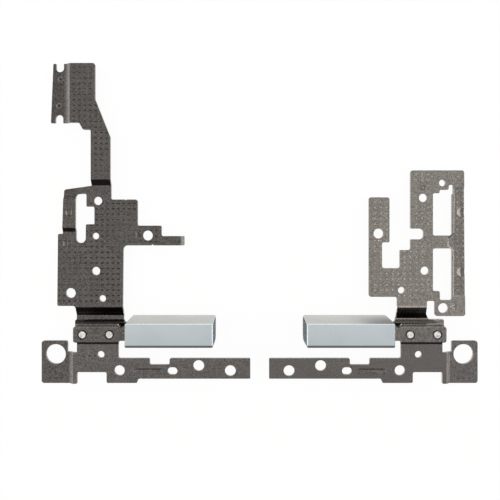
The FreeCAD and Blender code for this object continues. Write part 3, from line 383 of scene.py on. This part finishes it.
def sheet_steel(name, base, edge, marks, start, patches, tone_and_painted_light, slope_painted_light, seed):
    """Dull grained sheet steel with a coined pattern, brighter sheared edges, some places in another tone,
    and painted shade and highlights on bends, feet and pressed slopes.
    """
    shader = Shader(name)
    base = linear(*base)
    edge = linear(*edge)
    level = shader.upward()
    flat = shader.steps(level, *FLAT_CHANGE)
    sloping = shader.steps(level, *SLOPING_CHANGE)
    grain = shader.noise(GRAIN_SIZE, detail=2.0, seed=seed)
    smudges = shader.noise(SMUDGE_SIZE, detail=4.0, seed=seed + 1)
    rolling = shader.noise(ROLLING_SIZE, detail=3.0, seed=seed + 2, squeezed=ROLLING_LINES)
    streaks = shader.noise(STREAK_SIZE, detail=3.0, seed=seed + 3, squeezed=STREAK_LINES)
    flecks = shader.noise(FLECK_SIZE, detail=0.0, seed=seed + 4)

    start_x, direction = start
    x, y, _ = shader.parts(shader.mm)
    x = shader.times(shader.minus(x, start_x), direction)
    y = shader.minus(y, AXIS_Y)
    pattern = shader.times(coins(shader, marks, x, y, patches), flat)
    painted_slopes = shader.times(shader.in_any(x, y, [patch for *patch, _ in slope_painted_light]), sloping)
    bend_shade = shader.times(shader.leaning(), shader.minus(1.0, painted_slopes))

    light = shade(base, GRAIN_LIGHT)
    colour = shader.blend(shader.steps(grain, *GRAIN_CHANGE), shade(base, GRAIN_DARK), light)
    colour = shader.blend(shader.steps(smudges, *SMUDGE_CHANGE), colour, base)
    colour = shader.blend(shader.steps(rolling, *ROLLING_CHANGE), colour, light)
    colour = shader.blend(shader.steps(flecks, *FLECK_CHANGE), colour, shade(base, FLECK_LIGHT))
    colour = shader.blend(shader.times(pattern, marks["share"]), colour, shade(base, marks["shade"]))
    sheared = shader.blend(shader.steps(streaks, *STREAK_CHANGE), shade(edge, STREAK_DARK), edge)
    colour = shader.blend(flat, sheared, colour)
    # Painted shade on the faces of bends that lean towards -Y
    colour = shader.toned(colour, bend_shade, BEND_SHADE_SHARE)
    # Places of another tone, and painted shade and highlights on the bends, feet and beside the tangs
    for *patch, share in tone_and_painted_light:
        colour = shader.toned(colour, shader.inside(x, y, patch), share)
    # Painted highlights on one side of pressed slopes and painted shade on the other
    for *patch, share in slope_painted_light:
        colour = shader.toned(colour, shader.times(shader.inside(x, y, patch), sloping), share)

    roughness = shader.steps(smudges, *NOISE_RANGE, *SATIN)
    unworn_metallic = shader.steps(flat, 0.0, 1.0, SHEARED_METALLIC, 1.0)
    metallic = shader.times(unworn_metallic, shader.steps(painted_slopes, 0.0, 1.0, 1.0, PAINTED_SLOPE_METALLIC))
    fine = shader.bump(grain, GRAIN_DEPTH, shader.rolled_edges())
    normal = shader.bump(shader.minus(1.0, pattern), COIN_DEPTH, fine)
    return shader.finish(colour, roughness, normal, metallic)


def ground_steel(name, base, grit, squeezed, roughness, seed, contrast=USUAL_CONTRAST, sides=1.0):
    """Bare metal with fine machining lines, a few stains, painted light on its upright sides as given, and
    painted shade on faces that lean to -Y.
    """
    shader = Shader(name)
    base = linear(*base)
    dark = shade(base, LIGHT_PLUS_DARK - contrast)
    lines = shader.noise(grit, detail=4.0, seed=seed, squeezed=squeezed)
    stains = shader.noise(STAIN_SIZE, detail=4.0, seed=seed + 1)
    colour = shader.blend(shader.steps(lines, *NOISE_RANGE), dark, shade(base, contrast))
    colour = shader.blend(shader.steps(stains, *STAIN_CHANGE), colour, dark)
    # Painted light on the upright sides: a highlight where the factor is above 1 and shade where it is below
    colour = shader.toned(colour, shader.steps(shader.upward(), *UPRIGHT_CHANGE), sides)
    # Painted shade on faces that lean towards -Y, such as the tangs' chamfers
    colour = shader.toned(colour, shader.leaning(), BEND_SHADE_SHARE)
    stained = shader.steps(stains, *NOISE_RANGE, *roughness)
    return shader.finish(colour, stained, shader.bump(lines, LINE_DEPTH), GROUND_METALLIC)


def shaft_steel(name, base, seed, contrast, sides=1.0):
    """Ground steel of a shaft and its tang, with lines across the shaft."""
    return ground_steel(name, base, SHAFT_GRIT, LINES_ALONG_Y, SHAFT_ROUGHNESS, seed, contrast, sides)


def cap_paint(name, seed):
    """Pale satin paint with painted highlights, tint and shade by face and place, bare inside in a partly
    shaded grey.
    """
    shader = Shader(name)
    mist = shader.noise(MIST_SIZE, detail=3.0, seed=seed)
    peel = shader.noise(PEEL_SIZE, detail=1.0, seed=seed + 1)
    along, across, up = shader.parts(shader.facing)
    x, y, z = shader.parts(shader.mm)
    y = shader.minus(y, AXIS_Y)
    colour = shader.blend(shader.steps(mist, *NOISE_RANGE), linear(*CAP_DIM), linear(*CAP_PALE))
    colour = shader.toned(colour, shader.steps(y, *TOP_CHANGE), TOP_SHARE)

    # The +Y wall in a warmer painted tint of the light that falls on it
    wall = shader.steps(across, *WALL_CHANGE)
    colour = shader.blend(wall, colour, linear(*CAP_WALL_LIT))
    # Painted reflection of the bracket: the right cap's +Y wall darker towards its outer end and its top
    corner = shader.times(shader.steps(x, *CORNER_X_CHANGE), shader.steps(z, *CORNER_Z_CHANGE))
    colour = shader.toned(colour, shader.times(wall, corner), CORNER_SHADE_SHARE)

    # Painted highlight along the rounded edge between the top and the +Y wall
    slanted = shader.times(shader.math("MAXIMUM", across, 0.0), shader.math("MAXIMUM", up, 0.0))
    colour = shader.blend(shader.steps(slanted, *SLANT_CHANGE), colour, linear(*CAP_EDGE_HIGHLIGHT))
    # Painted highlight on the cap's end faces
    rim = shader.steps(shader.math("ABSOLUTE", along), *RIM_CHANGE)
    colour = shader.blend(rim, colour, linear(*CAP_RIM_HIGHLIGHT))
    # Painted shade along the rounded -Y edge of the top
    low_edge_shade = shader.times(shader.steps(y, *LOW_EDGE_Y_CHANGE), shader.steps(up, *LOW_EDGE_UP_CHANGE))
    colour = shader.blend(shader.times(low_edge_shade, LOW_EDGE_SHARE), colour, linear(*CAP_LOW_EDGE_SHADE))

    # Bare metal inside the cap, in a darker grey that is partly painted shade
    outward_y = shader.times(across, y)
    outward_z = shader.times(up, shader.minus(z, CAP_MIDDLE_Z))
    outside = shader.steps(shader.math("ADD", outward_y, outward_z), *OUTSIDE_CHANGE)
    colour = shader.blend(outside, linear(*CAP_INSIDE_BARE_AND_SHADED), colour)
    more_metallic = shader.times(outside, PAINT_METALLIC - INSIDE_METALLIC)
    metallic = shader.math("ADD", more_metallic, INSIDE_METALLIC)
    roughness = shader.steps(mist, *NOISE_RANGE, *SATIN)
    return shader.finish(colour, roughness, shader.bump(peel, PEEL_DEPTH, shader.rolled_edges()), metallic)


# The material of each node, by how its name ends
MATERIALS = {
    "left_system_bracket": sheet_steel(
        "left_base_steel", base=(84, 80, 77), edge=(165, 161, 155), marks=LEFT_COINS, start=LEFT_START,
        patches=LEFT_BASE_PATCHES, tone_and_painted_light=LEFT_BASE_TONE_AND_PAINTED_LIGHT, slope_painted_light=LEFT_BASE_SLOPE_PAINTED_LIGHT, seed=20.0),
    "right_system_bracket": sheet_steel(
        "right_base_steel", base=(119, 114, 109), edge=(182, 178, 172), marks=RIGHT_COINS, start=RIGHT_START,
        patches=RIGHT_BASE_PATCHES, tone_and_painted_light=RIGHT_BASE_TONE_AND_PAINTED_LIGHT, slope_painted_light=RIGHT_BASE_SLOPE_PAINTED_LIGHT, seed=30.0),
    "left_display_bracket": sheet_steel(
        "left_display_steel", base=(93, 89, 86), edge=(175, 170, 164), marks=DISPLAY_COINS,
        start=LEFT_START, patches=LEFT_DISPLAY_PATCHES, tone_and_painted_light=LEFT_DISPLAY_TONE_AND_PAINTED_LIGHT, slope_painted_light=DISPLAY_SLOPE_PAINTED_LIGHT,
        seed=40.0),
    "right_display_bracket": sheet_steel(
        "right_display_steel", base=(93, 89, 86), edge=(175, 170, 164), marks=DISPLAY_COINS,
        start=MIRRORED_START, patches=RIGHT_DISPLAY_PATCHES, tone_and_painted_light=RIGHT_DISPLAY_TONE_AND_PAINTED_LIGHT, slope_painted_light=DISPLAY_SLOPE_PAINTED_LIGHT,
        seed=45.0),
    # The tangs' upright sides get a painted highlight
    "left_display_shaft": shaft_steel(
        "left_tang_steel", base=(98, 94, 89), seed=50.0, contrast=1.6, sides=1.4),
    "right_display_shaft": shaft_steel(
        "right_tang_steel", base=(112, 108, 103), seed=51.0, contrast=1.35, sides=1.4),
    # The system shafts' steel darkened with painted shade, more on the left, where they lie under the
    # display brackets
    "left_system_shaft": shaft_steel("left_shaft_steel_shaded", base=(52, 50, 48), seed=52.0, contrast=1.5),
    "right_system_shaft": shaft_steel("right_shaft_steel_shaded", base=(94, 90, 86), seed=54.0, contrast=1.5),
    # The rivets' upright sides get painted shade
    "rivets": ground_steel(
        "rivet_steel", base=(220, 217, 213), grit=0.6, squeezed=NO_LINES, roughness=(0.32, 0.4), seed=60.0,
        sides=0.2),
    ("end_plate", "lock_slider", "friction_plates"): ground_steel(
        "plate_steel", base=(128, 128, 127), grit=0.6, squeezed=LINES_ALONG_X, roughness=(0.3, 0.45),
        seed=70.0),
    ("cam", "friction_washers"): ground_steel(
        "disc_steel", base=(142, 141, 139), grit=0.5, squeezed=LINES_ALONG_X, roughness=(0.25, 0.4),
        seed=80.0),
    "spring_washers": ground_steel(
        "spring_steel", base=(84, 86, 92), grit=0.5, squeezed=LINES_ROUND_X, roughness=(0.3, 0.45),
        seed=90.0),
    "nut": ground_steel(
        "nut_zinc", base=(176, 176, 170), grit=0.8, squeezed=NO_LINES, roughness=(0.3, 0.5), seed=100.0),
    "hinge_cap": cap_paint("cap_satin_paint", seed=11.0),
}

for name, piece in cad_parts.items():
    material = next(look for ending, look in MATERIALS.items() if name.endswith(ending))
    for slot in piece.material_slots:
        slot.material = material


def make_floor():
    """White ground that shows the background's white and a faint shadow."""
    bpy.ops.mesh.primitive_plane_add(size=FLOOR_WIDTH * MM)
    floor = bpy.context.object
    floor.name = "floor"
    material = bpy.data.materials.new("floor_white")
    material.use_nodes = True
    nodes = Nodes(material.node_tree)
    nodes.tree.nodes.clear()
    matte = nodes.add("BsdfDiffuse")
    nodes.put(matte.inputs["Color"], FLOOR_COLOUR)
    glow = nodes.add("Emission")
    rays = nodes.add("LightPath").outputs
    seen = nodes.math("MAXIMUM", rays["Is Camera Ray"], rays["Is Glossy Ray"])
    seen_or_through = nodes.math("MAXIMUM", seen, rays["Is Transmission Ray"])
    mix = nodes.add("MixShader")
    nodes.put(mix.inputs["Fac"], nodes.times(seen_or_through, FLOOR_GLOW_SHARE))
    nodes.put(mix.inputs[1], matte.outputs[0])
    nodes.put(mix.inputs[2], glow.outputs[0])
    nodes.put(nodes.add("OutputMaterial").inputs["Surface"], mix.outputs[0])
    floor.data.materials.append(material)


def make_studio():
    """White light from all around, strongest from the two sides and weakest from -Y, even to the camera."""
    world = bpy.data.worlds.new("studio")
    bpy.context.scene.world = world
    world.use_nodes = True
    nodes = Nodes(world.node_tree)
    towards_x, towards_y, _ = nodes.parts(nodes.add("TexCoord").outputs["Generated"])
    strength = nodes.steps(nodes.math("ABSOLUTE", towards_x), *SKY_TO_SIDES)
    for change in SKY_ALONG_Y:
        strength = nodes.times(strength, nodes.steps(towards_y, *change))
    even = nodes.add("Mix")
    nodes.put(even.inputs["Factor"], nodes.add("LightPath").outputs["Is Camera Ray"])
    nodes.put(even.inputs["A"], strength)
    nodes.put(even.inputs["B"], 1.0)
    background = nodes.tree.nodes["Background"]
    nodes.put(background.inputs["Color"], (1.0, 1.0, 1.0, 1.0))
    nodes.put(background.inputs["Strength"], even.outputs["Result"])


def make_camera():
    data = bpy.data.cameras.new("camera")
    data.sensor_width = SENSOR_WIDTH
    data.lens = SENSOR_WIDTH * FOCAL_PIXELS / IMAGE_WIDTH
    data.shift_x = -NADIR_RIGHT_OF_CENTRE / IMAGE_WIDTH
    data.shift_y = -NADIR_ABOVE_CENTRE / IMAGE_WIDTH
    data.clip_start = NEAR_CLIP * MM
    holder = bpy.data.objects.new("camera", data)
    bpy.context.scene.collection.objects.link(holder)
    holder.location = CAMERA_AT * MM
    bpy.context.scene.camera = holder


make_camera()
make_floor()
make_studio()
bpy.context.scene.view_settings.view_transform = "Standard"
